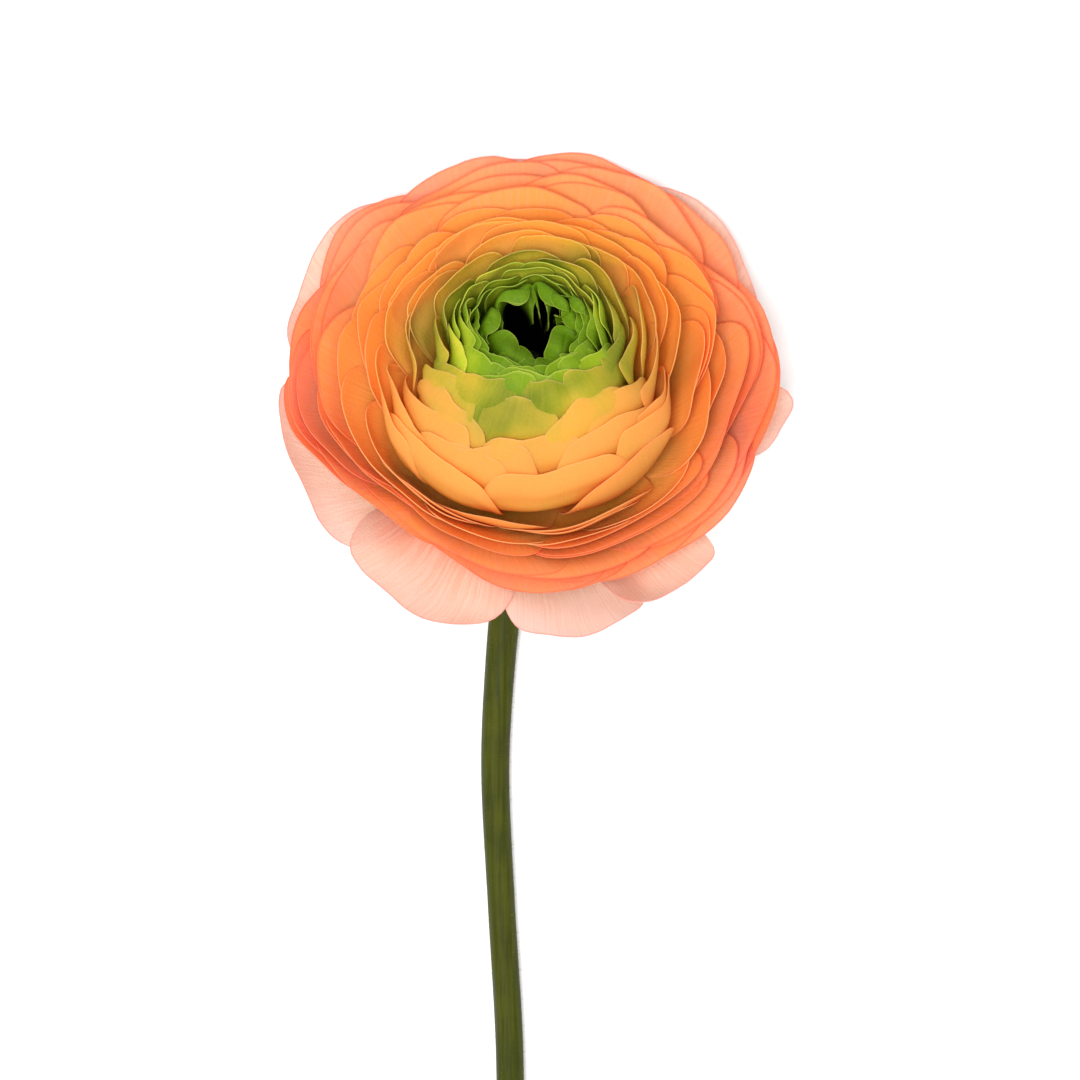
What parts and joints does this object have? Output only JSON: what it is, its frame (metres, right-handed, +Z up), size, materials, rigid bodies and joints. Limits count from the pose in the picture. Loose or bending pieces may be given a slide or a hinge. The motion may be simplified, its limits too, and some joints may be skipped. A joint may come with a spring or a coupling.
{
  "type": "ranunculus flower",
  "caption": "Cut double ranunculus lying on its side: a bare stem bends up into a round head of overlapping petals, green at the heart, then yellow, orange and pale peach.",
  "frame": {"origin": "bottom centre of the bounding box, on the surface that the flower lies on", "axes": "+Y along the lying stem towards the flower, +Z up from the surface, +X to the right when seen from above with the flower at the top"},
  "size_m": [0.084, 0.1722, 0.0559],
  "materials": {
    "guard_petal": "satin",
    "outer_petal": "satin",
    "middle_petal": "satin",
    "inner_petal": "satin",
    "heart_petal": "satin",
    "sepal": "matte",
    "stem": "matte",
    "seed_cone": "matte"
  },
  "bodies": {
    "root": {"stem": "stem", "seed_cone": "seed_cone", "sepal_1": "sepal", "sepal_2": "sepal", "sepal_3": "sepal", "sepal_4": "sepal", "sepal_5": "sepal", "guard_petal_1": "guard_petal", "guard_petal_2": "guard_petal", "guard_petal_3": "guard_petal", "guard_petal_4": "guard_petal", "guard_petal_5": "guard_petal", "guard_petal_6": "guard_petal", "guard_petal_7": "guard_petal", "guard_petal_8": "guard_petal", "outer_petal_01": "outer_petal", "outer_petal_02": "outer_petal", "outer_petal_03": "outer_petal", "outer_petal_04": "outer_petal", "outer_petal_05": "outer_petal", "outer_petal_06": "outer_petal", "outer_petal_07": "outer_petal", "outer_petal_08": "outer_petal", "outer_petal_09": "outer_petal", "outer_petal_10": "outer_petal", "outer_petal_11": "outer_petal", "outer_petal_12": "outer_petal", "outer_petal_13": "outer_petal", "outer_petal_14": "outer_petal", "outer_petal_15": "outer_petal", "middle_petal_01": "middle_petal", "middle_petal_02": "middle_petal", "middle_petal_03": "middle_petal", "middle_petal_04": "middle_petal", "middle_petal_05": "middle_petal", "middle_petal_06": "middle_petal", "middle_petal_07": "middle_petal", "middle_petal_08": "middle_petal", "middle_petal_09": "middle_petal", "middle_petal_10": "middle_petal", "inner_petal_01": "inner_petal", "inner_petal_02": "inner_petal", "inner_petal_03": "inner_petal", "inner_petal_04": "inner_petal", "inner_petal_05": "inner_petal", "inner_petal_06": "inner_petal", "inner_petal_07": "inner_petal", "inner_petal_08": "inner_petal", "inner_petal_09": "inner_petal", "inner_petal_10": "inner_petal", "heart_petal_01": "heart_petal", "heart_petal_02": "heart_petal", "heart_petal_03": "heart_petal", "heart_petal_04": "heart_petal", "heart_petal_05": "heart_petal", "heart_petal_06": "heart_petal", "heart_petal_07": "heart_petal"}
  },
  "joints": []
}
